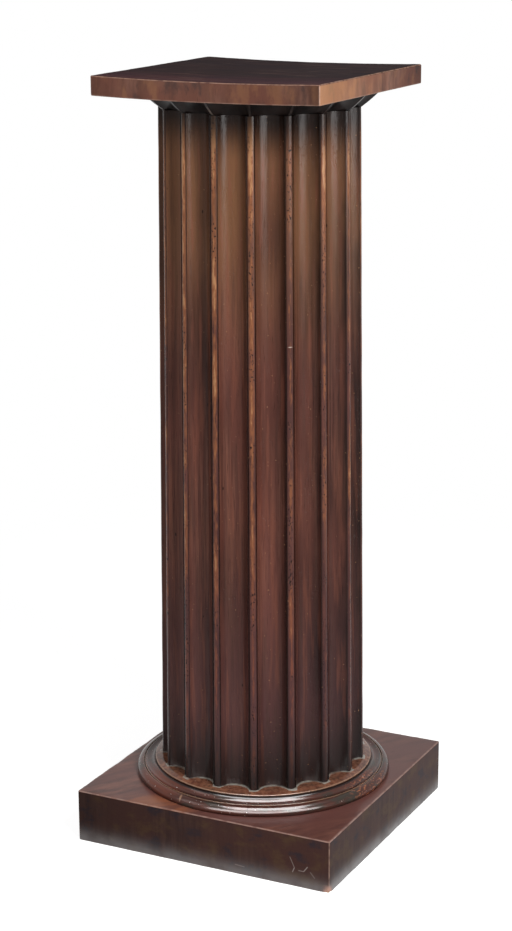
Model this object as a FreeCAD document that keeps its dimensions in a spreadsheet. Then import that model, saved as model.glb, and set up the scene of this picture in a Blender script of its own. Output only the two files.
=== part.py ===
import FreeCAD, Part
import math
import os
import re
import Sketcher

# Pedestal column stand: a square plinth, a turned base ring, a tapering coopered shaft whose staves
# are fluted and beaded, a flared fluted neck and a square top. +Z is up and the origin lies on the
# floor, below the middle of the stand. The front is -Y and the right side is +X.

# Driving dimensions, in millimetres, with angles in degrees.
sizes = {
    # square plinth
    "plinth_margin": 13.8,        # base ring to the sides of the plinth
    "plinth_height": 76.5,        # floor to the top of its veneer
    "plinth_wall": 22.0,          # thickness of the four mitred side boards
    "plinth_board": 18.0,         # thickness of the board laid over them
    "block_leg": 42.0,            # leg of the triangular blocks in the corners
    "block_reveal": 5.0,          # how far these blocks stop above the floor
    "glue_block": 20.0,           # section of the rubbed blocks beneath the board
    "glue_block_length": 70.0,
    # veneers and edge bandings, shared by plinth and top
    "veneer": 1.5,                # sheets on the flat upper faces
    "banding": 2.5,               # cross-grained strips on the edges
    "corner_round": 2.2,          # wear-rounded upright corners
    # base ring, made of two halves, heights counted from the plinth
    "ring_height": 24.0,          # plinth to the seat of the staves
    "ring_seat": 18.5,            # how far it reaches inwards past the backs of the staves
    "ring_joint_angle": 19.4,     # where one joint lies, from the front towards the right
    "ring_foot_fillet": 3.4,      # upright band below the quarter round
    "quarter_round": 10.0,        # radius of the lower moulding
    "ring_quirk_width": 1.2,      # sunk line between the mouldings
    "ring_quirk_depth": 2.2,
    "hollow_fillet": 1.4,         # flat rim outside the hollow
    "hollow_width": 14.6,         # from that rim in to the lip
    "hollow_sag": 2.0,            # depth of the hollow below its chord
    "lip_height": 21.2,           # plinth to the top of the lip
    "lip_face": 4.0,              # upright face of the lip
    "ledge_width": 10.0,          # lip to the beads of the staves
    "ledge_flat": 1.5,            # level margin of the ledge outside the beads
    # tapering shaft
    "shaft_length": 941.0,
    "foot_radius": 148.0,         # over the beads, at the foot
    "head_radius": 139.0,         # over the beads, at the head
    "stave_count": 17,            # one flute and one bead on each stave
    "stave_thickness": 29.5,      # bead to the flat back, at the foot
    "flute_depth": 14.5,          # below the chord between its arrises, at the foot
    "bead_half": 5.6,             # bead centre to the bottom of its quirk, at the foot
    "bead_quirk_depth": 3.0,      # bead crown to the bottom of its quirk, at the foot
    "arris_half": 6.5,            # bead centre to the edge of the flute, at the foot
    "arris_drop": 1.2,            # bead crown to that edge, at the foot
    # neck between shaft and top
    "neck_height": 22.0,
    "neck_step": 0.6,             # beads of the shaft in to the neck's ridges
    "neck_flare": 25.6,           # how far the ridges spread outwards
    "neck_swell": 1.5,            # outward bow of the ridges at half height
    "neck_arris": 3.6,            # width of the ridges between the flutes
    "neck_flute_depth": 13.0,     # below the chord between the ridges, at the head
    # formers that hold the staves from the inside
    "former_thickness": 26.0,
    "former_fit": 0.15,           # gap to the flat backs of the staves
    "boss_fit": 0.25,             # gap between boss and ring
    # square top
    "top_overhang": 3.5,          # neck to the edge of the top
    "top_thickness": 26.5,
}

# Values worked out from the driving dimensions.
derived = {
    "pitch": "(360 / stave_count)",
    "joint_angle": "(atan(bead_half / (foot_radius - bead_quirk_depth)) / (1 deg))",
    "taper": "(head_radius / foot_radius)",
    "foot_inner": "(foot_radius - stave_thickness)",
    "arris_radius": "sqrt(arris_half ^ 2 + (foot_radius - arris_drop) ^ 2)",
    "arris_angle": "(atan(arris_half / (foot_radius - arris_drop)) / (1 deg))",
    "flute_half_chord": "(arris_radius * sin(pitch / 2 - arris_angle))",
    "flute_radius": "((flute_half_chord ^ 2 + flute_depth ^ 2) / (2 * flute_depth))",
    "flute_valley": "(arris_radius * cos(pitch / 2 - arris_angle) - flute_depth)",
    "bead_radius": "((bead_half ^ 2 + bead_quirk_depth ^ 2) / (2 * bead_quirk_depth))",
    "ring_bore": "(foot_inner - ring_seat)",
    "lip_radius": "(foot_radius + ledge_width)",
    "hollow_outer": "(lip_radius + hollow_width)",
    "quirk_inner": "(hollow_outer + hollow_fillet)",
    "round_inner": "(quirk_inner + ring_quirk_width)",
    "ring_radius": "(round_inner + quarter_round)",
    "neck_foot_radius": "(head_radius - neck_step)",
    "neck_head_radius": "(neck_foot_radius + neck_flare)",
    "plinth_side": "(2 * (ring_radius + plinth_margin))",
    "carcass_half": "(plinth_side / 2 - banding)",
    "carcass_inner": "(carcass_half - plinth_wall)",
    "side_board_height": "(plinth_height - veneer - plinth_board)",
    "top_side": "(2 * (neck_head_radius + top_overhang))",
    "core_height": "(top_thickness - veneer)",
    "shaft_floor": "(plinth_height + ring_height)",
    "neck_floor": "(shaft_floor + shaft_length)",
    "top_floor": "(neck_floor + neck_height)",
    "total_height": "(top_floor + top_thickness)",
}

sideAngles = {"front": -90, "right": 0, "back": 90, "left": 180}

doc = FreeCAD.newDocument("pedestal_column_stand")
sheet = doc.addObject("Spreadsheet::Sheet", "Sizes")
for row, (name, value) in enumerate(sizes.items(), start=1):
    sheet.set(f"A{row}", name)
    sheet.set(f"B{row}", str(value))
    sheet.setAlias(f"B{row}", name)
doc.recompute()


def expression(text):
    """Write derived names out and point every size at its cell."""
    anyDerived = re.compile(r"\b(" + "|".join(derived) + r")\b")
    while anyDerived.search(text):
        text = anyDerived.sub(lambda found: derived[found.group(1)], text)
    anySize = re.compile(r"\b(" + "|".join(sizes) + r")\b")
    return anySize.sub(r"Sizes.\1", text)


def number(text):
    """The present value of an expression."""
    value = sheet.evalExpression(expression(text))
    return float(getattr(value, "Value", value))


def bind(thing, prop, text):
    thing.setExpression(prop, expression(text))


def place(thing, height="0", turn="0"):
    """Raise a piece to a height and turn it about the stand's axis."""
    axis = FreeCAD.Vector(0, 0, 1)
    lift = FreeCAD.Vector(0, 0, number(height))
    thing.Placement = FreeCAD.Placement(lift, FreeCAD.Rotation(axis, number(turn)))
    bind(thing, "Placement.Base.z", height)
    bind(thing, "Placement.Rotation.Angle", turn)


def newBody(label):
    body = doc.addObject("PartDesign::Body", label)
    body.Label = label
    return body


def newSketch(body, name, role="XY_Plane", offset="0"):
    """A sketch on one of the body's own origin planes, moved along its normal."""
    sketch = body.newObject("Sketcher::SketchObject", f"{body.Label}_{name}")
    plane = [feature for feature in body.Origin.OriginFeatures if feature.Role == role][0]
    sketch.AttachmentSupport = [(plane, "")]
    sketch.MapMode = "FlatFace"
    bind(sketch, "AttachmentOffset.Base.z", offset)
    return sketch


def fixPoint(sketch, geometry, end, x, y):
    """Hold one end of a line or arc, or a centre, at a place given by two expressions."""
    for kind, text in (("DistanceX", x), ("DistanceY", y)):
        index = sketch.addConstraint(Sketcher.Constraint(kind, -1, 1, geometry, end, number(text)))
        bind(sketch, f"Constraints[{index}]", text)


def fixRadius(sketch, geometry, radius):
    index = sketch.addConstraint(Sketcher.Constraint("Radius", geometry, number(radius)))
    bind(sketch, f"Constraints[{index}]", radius)


def arcThrough(start, end, radius, bulge):
    """Arc of less than a half turn from start to end, with its centre on the left ("left") or right."""
    chord = end - start
    across = FreeCAD.Vector(-chord.y, chord.x, 0).normalize()
    if bulge == "right":
        across = across * -1
    reach = math.sqrt(max(radius ** 2 - (chord.Length / 2) ** 2, 0))
    centre = (start + end) * 0.5 + across * reach
    first, last = (start, end) if bulge == "left" else (end, start)
    angles = [math.atan2(point.y - centre.y, point.x - centre.x) for point in (first, last)]
    if angles[1] < angles[0]:
        angles[1] += 2 * math.pi
    circle = Part.Circle(centre, FreeCAD.Vector(0, 0, 1), radius)
    return Part.ArcOfCircle(circle, angles[0], angles[1])


def drawOutline(sketch, corners):
    """Closed outline through corners (x, y), run anticlockwise. A corner (x, y, radius, side) is
    reached by an arc whose centre lies on that side of the way there; any other by a line."""
    points = [FreeCAD.Vector(number(corner[0]), number(corner[1]), 0) for corner in corners]
    ends = []
    for index, corner in enumerate(corners):
        start, end = points[index - 1], points[index]
        if len(corner) == 2:
            geometry = sketch.addGeometry(Part.LineSegment(start, end))
            ends.append((geometry, 1, 2))
        else:
            radius, side = corner[2], corner[3]
            geometry = sketch.addGeometry(arcThrough(start, end, number(radius), side))
            ends.append((geometry, 1, 2) if side == "left" else (geometry, 2, 1))
    for index, corner in enumerate(corners):
        geometry, _, last = ends[index]
        following, first, _ = ends[(index + 1) % len(ends)]
        sketch.addConstraint(Sketcher.Constraint("Coincident", geometry, last, following, first))
        fixPoint(sketch, geometry, last, corner[0], corner[1])
        if len(corner) == 4:
            fixRadius(sketch, geometry, corner[2])


def drawCircle(sketch, x, y, radius):
    centre = FreeCAD.Vector(number(x), number(y), 0)
    circle = Part.Circle(centre, FreeCAD.Vector(0, 0, 1), number(radius))
    geometry = sketch.addGeometry(circle)
    fixPoint(sketch, geometry, 3, x, y)
    fixRadius(sketch, geometry, radius)


def pad(body, sketch, length, down=False):
    feature = body.newObject("PartDesign::Pad", f"{sketch.Label}_pad")
    feature.Profile = sketch
    feature.Reversed = down
    bind(feature, "Length", length)
    return feature


def loft(body, sections):
    feature = body.newObject("PartDesign::AdditiveLoft", f"{sections[0].Label}_loft")
    feature.Profile = sections[0]
    feature.Sections = sections[1:]
    feature.Ruled = True
    return feature


def polar(radius, angle):
    """Corner at a radius and an angle from the local +X axis."""
    return (f"({radius}) * cos({angle})", f"({radius}) * sin({angle})")


def squareBoard(label, side, thickness, height):
    """Plain square board, centred on the stand's axis, lying at a height."""
    board = doc.addObject("Part::Box", label)
    board.Label = label
    bind(board, "Length", side)
    bind(board, "Width", side)
    bind(board, "Height", thickness)
    bind(board, "Placement.Base.x", f"-({side}) / 2")
    bind(board, "Placement.Base.y", f"-({side}) / 2")
    bind(board, "Placement.Base.z", height)
    return board


def squareSheet(label, side, thickness, height):
    """Square sheet with rounded upright corners, lying at a height."""
    body = newBody(label)
    sketch = newSketch(body, "outline")
    half = f"({side} / 2)"
    inset = f"({side} / 2 - corner_round)"
    corners = []
    for x, y, nextX, nextY in ((1, -1, 1, 1), (1, 1, -1, 1), (-1, 1, -1, -1), (-1, -1, 1, -1)):
        # each upright corner is an arc that ends where the next straight edge begins
        if x == nextX:
            corners.append((f"{x} * {half}", f"{y} * {inset}", "corner_round", "left"))
            corners.append((f"{x} * {half}", f"{nextY} * {inset}"))
        else:
            corners.append((f"{x} * {inset}", f"{y} * {half}", "corner_round", "left"))
            corners.append((f"{nextX} * {inset}", f"{y} * {half}"))
    drawOutline(sketch, corners)
    pad(body, sketch, thickness)
    place(body, height)
    return body


def edgeStrip(label, side, length, height, turn):
    """Mitred strip of banding on one side of a square, its outer corners rounded."""
    body = newBody(label)
    sketch = newSketch(body, "outline")
    inner = f"({side} / 2 - banding)"
    tangent = f"({side} / 2 - corner_round)"
    mitre = f"({side} / 2 - corner_round * (1 - cos(45)))"
    outer = f"({side} / 2)"
    drawOutline(sketch, [
        (inner, f"-{inner}"),
        (mitre, f"-{mitre}"),
        (outer, f"-{tangent}", "corner_round", "left"),
        (outer, tangent),
        (mitre, mitre, "corner_round", "left"),
        (inner, inner),
    ])
    pad(body, sketch, length)
    place(body, height, turn)
    return body


def plinthSide(label, turn):
    """Mitred side board of the plinth's box."""
    body = newBody(label)
    sketch = newSketch(body, "outline")
    drawOutline(sketch, [
        ("carcass_inner", "-carcass_inner"),
        ("carcass_half", "-carcass_half"),
        ("carcass_half", "carcass_half"),
        ("carcass_inner", "carcass_inner"),
    ])
    pad(body, sketch, "side_board_height")
    place(body, "0", turn)
    return body


def cornerBlock(label, turn):
    """Triangular block glued into an inner corner of the plinth."""
    body = newBody(label)
    sketch = newSketch(body, "outline")
    drawOutline(sketch, [
        ("carcass_inner", "carcass_inner - block_leg"),
        ("carcass_inner", "carcass_inner"),
        ("carcass_inner - block_leg", "carcass_inner"),
    ])
    pad(body, sketch, "side_board_height - block_reveal")
    place(body, "block_reveal", turn)
    return body


def glueBlocks(label):
    """Square-section blocks rubbed into the angle below the plinth's board, one to each side."""
    reach = "(carcass_inner - glue_block)"
    slide = "(glue_block_length / 2)"
    blocks = []
    for side, turn in sideAngles.items():
        block = doc.addObject("Part::Box", f"{label}_{side}")
        bind(block, "Length", "glue_block")
        bind(block, "Width", "glue_block_length")
        bind(block, "Height", "glue_block")
        block.Placement.Rotation = FreeCAD.Rotation(FreeCAD.Vector(0, 0, 1), turn)
        bind(block, "Placement.Base.x", f"{reach} * cos({turn}) + {slide} * sin({turn})")
        bind(block, "Placement.Base.y", f"{reach} * sin({turn}) - {slide} * cos({turn})")
        bind(block, "Placement.Base.z", "side_board_height - glue_block")
        blocks.append(block)
    group = doc.addObject("Part::Compound", label)
    group.Links = blocks
    group.Label = label
    return group


def ringSegment(label, turn):
    """Half of the base ring: quarter round, sunk line, hollow, lip and ledge."""
    body = newBody(label)
    sketch = newSketch(body, "profile", "XZ_Plane")
    roundTop = "(ring_foot_fillet + quarter_round)"
    quirkFloor = "(ring_foot_fillet + quarter_round - ring_quirk_depth)"
    lipFoot = "(lip_height - lip_face)"
    hollowChord = f"(hollow_width ^ 2 + ({lipFoot} - {roundTop}) ^ 2)"
    hollowRadius = f"({hollowChord} / (8 * hollow_sag) + hollow_sag / 2)"
    drawOutline(sketch, [
        ("ring_bore", "0"),
        ("ring_radius", "0"),
        ("ring_radius", "ring_foot_fillet"),
        ("round_inner", roundTop, "quarter_round", "left"),
        ("round_inner", quirkFloor),
        ("quirk_inner", quirkFloor),
        ("quirk_inner", roundTop),
        ("hollow_outer", roundTop),
        ("lip_radius", lipFoot, hollowRadius, "right"),
        ("lip_radius", "lip_height"),
        ("foot_radius + ledge_flat", "ring_height"),
        ("ring_bore", "ring_height"),
    ])
    ring = body.newObject("PartDesign::Revolution", f"{label}_turned")
    ring.Profile = sketch
    ring.ReferenceAxis = (sketch, ["V_Axis"])
    ring.Angle = 180
    place(body, "plinth_height", turn)
    return body


def staveOutline(sketch, scale):
    """Section of a stave: flat back, radial joints, a flute and, on its right, a bead between two
    quirks. The bead lies on the local +X axis and the joint runs out at its right-hand quirk. Every
    length shrinks with the radius, so flutes, beads and joints all aim at one point above the stand."""
    before = "(joint_angle - pitch)"
    backCorner = f"(foot_inner / cos(pitch / 2) * {scale})"
    quirkRadius = f"(sqrt(bead_half ^ 2 + (foot_radius - bead_quirk_depth) ^ 2) * {scale})"
    edge = f"(arris_radius * {scale})"
    drawOutline(sketch, [
        polar(backCorner, before),
        polar(quirkRadius, before),
        polar(edge, "arris_angle - pitch"),
        polar(edge, "-arris_angle") + (f"flute_radius * {scale}", "right"),
        polar(quirkRadius, "-joint_angle"),
        polar(quirkRadius, "joint_angle") + (f"bead_radius * {scale}", "left"),
        polar(backCorner, "joint_angle"),
    ])


def stave(label, index):
    body = newBody(label)
    foot = newSketch(body, "foot")
    staveOutline(foot, "1")
    head = newSketch(body, "head", offset="shaft_length")
    staveOutline(head, "taper")
    loft(body, [foot, head])
    place(body, "shaft_floor", f"-90 + pitch * {index}")
    return body


def formerOutline(sketch, height):
    """Polygon that fits between the flat backs of the staves at a height above their feet."""
    back = f"(foot_inner * (1 - (1 - taper) * ({height}) / shaft_length) - former_fit)"
    corners = []
    for index in range(int(sizes["stave_count"])):
        corners.append(polar(f"{back} / cos(pitch / 2)", f"joint_angle + pitch * {index}"))
    drawOutline(sketch, corners)


def former(label, height):
    """Disc glued inside the staves, fitted to their backs at its upper face."""
    body = newBody(label)
    sketch = newSketch(body, "outline")
    formerOutline(sketch, f"{height} + former_thickness")
    pad(body, sketch, "former_thickness")
    place(body, f"shaft_floor + {height}", "-90")
    return body


def bottomFormer(label):
    """Lowest disc, with a boss that passes through the base ring down to the plinth."""
    body = former(label, "0")
    boss = newSketch(body, "boss")
    drawCircle(boss, "0", "0", "ring_bore - boss_fit")
    pad(body, boss, "ring_height", down=True)
    return body


def neckOutline(sketch, radius, valley):
    """Section of the neck: narrow ridges at a radius, each in line with a bead of the shaft, and
    between them hollow arcs down to the valley's radius."""
    ridge = f"(asin(neck_arris / (2 * {radius})) / (1 deg))"
    halfChord = f"({radius} * sin(pitch / 2 - {ridge}))"
    depth = f"({radius} * cos(pitch / 2 - {ridge}) - {valley})"
    fluteRadius = f"(({halfChord} ^ 2 + {depth} ^ 2) / (2 * {depth}))"
    corners = []
    for index in range(int(sizes["stave_count"])):
        corners.append(polar(radius, f"pitch * {index} - {ridge}") + (fluteRadius, "right"))
        corners.append(polar(radius, f"pitch * {index} + {ridge}") + (radius, "left"))
    drawOutline(sketch, corners)


def neck(label):
    """Block that flares out below the top, with the shaft's flutes carved on through it."""
    footValley = "(flute_valley * taper)"
    headRidge = "(asin(neck_arris / (2 * neck_head_radius)) / (1 deg))"
    headValley = f"(neck_head_radius * cos(pitch / 2 - {headRidge}) - neck_flute_depth)"
    middleRadius = "((neck_foot_radius + neck_head_radius) / 2 + neck_swell)"
    middleValley = f"(({footValley} + {headValley}) / 2)"
    body = newBody(label)
    foot = newSketch(body, "foot")
    neckOutline(foot, "neck_foot_radius", footValley)
    middle = newSketch(body, "middle", offset="neck_height / 2")
    neckOutline(middle, middleRadius, middleValley)
    head = newSketch(body, "head", offset="neck_height")
    neckOutline(head, "neck_head_radius", headValley)
    loft(body, [foot, middle, head])
    place(body, "neck_floor", "-90")
    return body


# Plinth
pieces = []
for side, turn in sideAngles.items():
    pieces.append(plinthSide(f"plinth_side_{side}", str(turn)))
    strip = f"plinth_banding_{side}"
    pieces.append(edgeStrip(strip, "plinth_side", "plinth_height - veneer", "0", str(turn)))
for index, turn in enumerate(sideAngles.values(), start=1):
    pieces.append(cornerBlock(f"corner_block_{index}", str(turn)))
pieces.append(glueBlocks("glue_blocks"))
pieces.append(squareBoard("plinth_board", "2 * carcass_half", "plinth_board", "side_board_height"))
pieces.append(squareSheet("plinth_veneer", "plinth_side", "veneer", "plinth_height - veneer"))

# Base ring
for index in range(2):
    turn = f"ring_joint_angle - 90 + 180 * {index}"
    pieces.append(ringSegment(f"base_ring_segment_{index + 1}", turn))

# Shaft
for index in range(int(sizes["stave_count"])):
    pieces.append(stave(f"stave_{index + 1:02d}", index))
pieces.append(bottomFormer("former_bottom"))
pieces.append(former("former_middle", "(shaft_length - former_thickness) / 2"))
pieces.append(former("former_top", "shaft_length - former_thickness"))

# Neck and top
pieces.append(neck("neck"))
pieces.append(squareBoard("top_core", "top_side - 2 * banding", "core_height", "top_floor"))
for side, turn in sideAngles.items():
    strip = f"top_banding_{side}"
    pieces.append(edgeStrip(strip, "top_side", "core_height", "top_floor", str(turn)))
pieces.append(squareSheet("top_veneer", "top_side", "veneer", "top_floor + core_height"))

doc.recompute()

for thing in doc.Objects:
    if "Invalid" in thing.State or "Error" in thing.State:
        raise RuntimeError(f"{thing.Label} did not build: {thing.State}")
for piece in pieces:
    if piece.Shape.isNull() or not piece.Shape.isValid():
        raise RuntimeError(f"{piece.Label} has no valid shape")

os.makedirs("parts", exist_ok=True)
for piece in pieces:
    piece.Shape.exportStep(f"parts/{piece.Label}.step")
    box = piece.Shape.BoundBox
    print(
        f"{piece.Label}: solids {len(piece.Shape.Solids)}, volume {piece.Shape.Volume:.0f},"
        f" z {box.ZMin:.1f} to {box.ZMax:.1f}"
    )
print(f"{len(pieces)} pieces, {number('total_height'):.1f} mm high")
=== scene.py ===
import math

import bpy
import numpy as np
from mathutils import Matrix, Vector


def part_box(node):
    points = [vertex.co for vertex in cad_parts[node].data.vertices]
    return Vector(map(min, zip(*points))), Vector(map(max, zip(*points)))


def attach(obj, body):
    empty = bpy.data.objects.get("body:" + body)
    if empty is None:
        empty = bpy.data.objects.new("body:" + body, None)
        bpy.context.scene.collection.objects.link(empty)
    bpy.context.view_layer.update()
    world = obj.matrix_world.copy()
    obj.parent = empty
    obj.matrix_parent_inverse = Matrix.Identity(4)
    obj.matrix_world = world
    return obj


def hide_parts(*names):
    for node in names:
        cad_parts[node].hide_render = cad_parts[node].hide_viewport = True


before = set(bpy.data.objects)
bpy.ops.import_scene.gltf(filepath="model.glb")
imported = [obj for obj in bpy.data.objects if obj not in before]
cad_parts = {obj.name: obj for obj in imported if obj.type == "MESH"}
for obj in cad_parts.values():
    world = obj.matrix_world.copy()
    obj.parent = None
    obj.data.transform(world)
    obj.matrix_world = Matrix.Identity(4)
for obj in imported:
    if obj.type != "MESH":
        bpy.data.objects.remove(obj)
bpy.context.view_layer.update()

# Tall mahogany pedestal: square plinth, turned base ring, coopered shaft with flutes and beads,
# flared neck and a square top. Lengths are metres; the front is -Y and the right side +X.

scene = bpy.context.scene
scene.view_settings.view_transform = "Standard"
dice = np.random.default_rng(17)      # one seeded source for all hand-made unevenness
creaseAngle = math.radians(38)        # edges sharper than this stay sharp when shaded


def gridQuads(rows, columns):
    # corner numbers of the quads of a grid whose columns close into a loop
    row, column = np.meshgrid(np.arange(rows - 1), np.arange(columns), indexing="ij")
    following = (column + 1) % columns
    quads = [row * columns + column, row * columns + following,
             (row + 1) * columns + following, (row + 1) * columns + column]
    return np.stack(quads, axis=-1).reshape(-1, 4)


def loopCaps(rows, columns):
    # the first and last loop of such a grid as two faces that close its ends
    first = np.arange(columns)[::-1]
    return [first, first[::-1] + (rows - 1) * columns]


def asTriples(*parts):
    return np.stack(np.broadcast_arrays(*parts), axis=-1)


def spun(x, y, angle):
    # x and y turned about the stand's axis
    cosine, sine = math.cos(angle), math.sin(angle)
    return x * cosine - y * sine, x * sine + y * cosine


def buildPiece(name, points, node, fields, flipped=False):
    # points is a grid of places whose columns close into a loop, and its ends are closed as well;
    # fields are the numbers or triples that the finish reads at each point
    rows, columns = points.shape[:2]
    quads, caps = gridQuads(rows, columns), loopCaps(rows, columns)
    if flipped:
        quads, caps = quads[:, ::-1], [cap[::-1] for cap in caps]
    corners = np.concatenate([quads.ravel(), *caps])
    counts = np.array([4] * len(quads) + [columns] * len(caps))
    mesh = bpy.data.meshes.new(name)
    mesh.vertices.add(rows * columns)
    mesh.vertices.foreach_set("co", points.astype(np.float32).ravel())
    mesh.loops.add(len(corners))
    mesh.loops.foreach_set("vertex_index", corners.astype(np.int32))
    mesh.polygons.add(len(counts))
    mesh.polygons.foreach_set("loop_start", (np.cumsum(counts) - counts).astype(np.int32))
    mesh.polygons.foreach_set("use_smooth", np.ones(len(counts), bool))
    mesh.update(calc_edges=True)
    for fieldName, values in fields.items():
        triples = np.ndim(values) == 3
        layer = mesh.attributes.new(fieldName, "FLOAT_VECTOR" if triples else "FLOAT", "POINT")
        values = values if triples else np.broadcast_to(values, (rows, columns))
        layer.data.foreach_set("vector" if triples else "value", values.astype(np.float32).ravel())
    mesh.set_sharp_from_angle(angle=creaseAngle)
    piece = bpy.data.objects.new(name, mesh)
    scene.collection.objects.link(piece)
    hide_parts(node)
    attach(piece, "root")
    return piece


def lengthAlong(points):
    # way from the first point of a polyline to each of its points
    return np.concatenate([[0], np.cumsum(np.hypot(*np.diff(points, axis=0).T))])


def evenly(points, spacing):
    # the same polyline with points about one spacing apart, its ends kept
    reach = lengthAlong(points)
    places = np.linspace(0, reach[-1], max(int(reach[-1] / spacing), 1) + 1)
    return np.column_stack([np.interp(places, reach, points[:, axis]) for axis in (0, 1)])


def softened(points, passes):
    # corners rounded by moving each inner point towards the middle of its neighbours
    points = points.copy()
    for _ in range(passes):
        points[1:-1] = points[1:-1] * 0.5 + (points[:-2] + points[2:]) * 0.25
    return points


def arcPoints(centre, radius, start, end, count):
    # circle about a centre, from one angle to another in degrees
    turn = np.radians(np.linspace(start, end, count))
    return np.column_stack([centre[0] + radius * np.cos(turn), centre[1] + radius * np.sin(turn)])


def arcBetween(start, end, sag, count):
    # shallow arc from start to end that bows to the left of the way by its sag
    start, end = np.asarray(start, float), np.asarray(end, float)
    share = np.linspace(0, 1, count)[:, None]
    way = end - start
    left = np.array([-way[1], way[0]]) / np.hypot(*way)
    radius = (way @ way) / (8 * sag) + sag / 2
    offset = (share - 0.5) * np.hypot(*way)
    depth = np.sqrt(radius ** 2 - offset ** 2) - (radius - sag)
    return start + way * share + left * depth


def wander(places, reach, size):
    # smooth random line: sines of a few wavelengths round one reach, added with random phases
    total = np.zeros_like(places)
    for part in (0.35, 0.6, 1.0, 1.9):
        phase = dice.uniform(0, 2 * math.pi)
        total += part * np.sin(2 * math.pi * places / (reach * part) + phase)
    return total * size / 2


# boxes of the solids that the shapes are fitted to
plinthLow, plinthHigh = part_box("plinth_veneer")
topLow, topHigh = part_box("top_veneer")
ringLow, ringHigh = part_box("base_ring_segment_1")
staveLow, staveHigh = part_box("stave_01")
neckLow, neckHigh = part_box("neck")
staveNames = sorted(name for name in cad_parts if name.startswith("stave_"))

# a stave has one flute and one bead, and its section shrinks towards the head
shaft = {
    "footRadius": -staveLow.y,
    "headRadius": 0.139,
    "fluteDepth": 0.0145,
    "beadHalf": 0.0056,
    "quirkDepth": 0.0030,
    "arrisHalf": 0.0065,
    "arrisDrop": 0.0012,
    "thickness": 0.0295,
    "spacing": 0.0005,      # points along the section
    "rows": 48,
    "unevenFlute": 0.00016,
    "fluteWave": 0.35,      # length of the waves in a flute
    "unevenBead": 0.00022,
    "beadWave": 0.14,
    "fluteStart": 0.006,    # depth over which the flute begins beside the bead
    "grimeWidth": 0.0011,
    "grainShift": 7.3,      # from the grain of one stave to that of the next
    "wornCorners": 2,       # passes that round the arrises
    "darkWall": 0.020,      # reach of the painted shade and dirt beside a bead, along the section
    # staves that are paler or darker, and whose bead is rubbed more or less, by their number; staves 4 and
    # 5 on the right are darkened as painted shade where the lamp lights most
    "tonesAndPaintedLight": {1: -0.5, 2: 0.0, 3: 0.4, 4: -1.1, 5: -1.0, 17: 0.2},
    "wears": {1: 0.04, 2: 0.07, 3: -0.04, 4: -0.11, 5: -0.06, 17: 0.02},
}
pitch = 2 * math.pi / len(staveNames)


def polar(radius, angle):
    return np.array([radius * math.cos(angle), radius * math.sin(angle)])


def fluteNumbers(look):
    # at the foot: angle of an arris from its bead, its radius, the sweep of the flute's arc and its
    # lowest radius
    arrisRadius = math.hypot(look["arrisHalf"], look["footRadius"] - look["arrisDrop"])
    arris = math.atan(look["arrisHalf"] / (look["footRadius"] - look["arrisDrop"]))
    half = arrisRadius * math.sin(pitch / 2 - arris)
    sweep = (half ** 2 + look["fluteDepth"] ** 2) / (2 * look["fluteDepth"])
    return arris, arrisRadius, sweep, arrisRadius * math.cos(pitch / 2 - arris) - look["fluteDepth"]


def staveSection(look):
    # front and whole section at the foot, anticlockwise about the bead's own direction
    radius = look["footRadius"]
    quirk = radius - look["quirkDepth"]
    joint = math.atan(look["beadHalf"] / quirk)
    quirkRadius = math.hypot(look["beadHalf"], quirk)
    arris, arrisRadius, _, _ = fluteNumbers(look)
    flute = arcBetween(polar(arrisRadius, arris - pitch), polar(arrisRadius, -arris),
                       look["fluteDepth"], 120)
    beadRadius = (look["beadHalf"] ** 2 + look["quirkDepth"] ** 2) / (2 * look["quirkDepth"])
    spread = math.degrees(math.asin(look["beadHalf"] / beadRadius))
    bead = arcPoints((radius - beadRadius, 0), beadRadius, -spread, spread, 40)
    front = np.vstack([polar(quirkRadius, joint - pitch), flute, bead])
    front = softened(evenly(front, look["spacing"]), look["wornCorners"])
    inner = (radius - look["thickness"]) / math.cos(pitch / 2)
    back = np.array([polar(inner, joint), polar(inner, joint - pitch)])
    return front, np.vstack([front, back])


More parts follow.
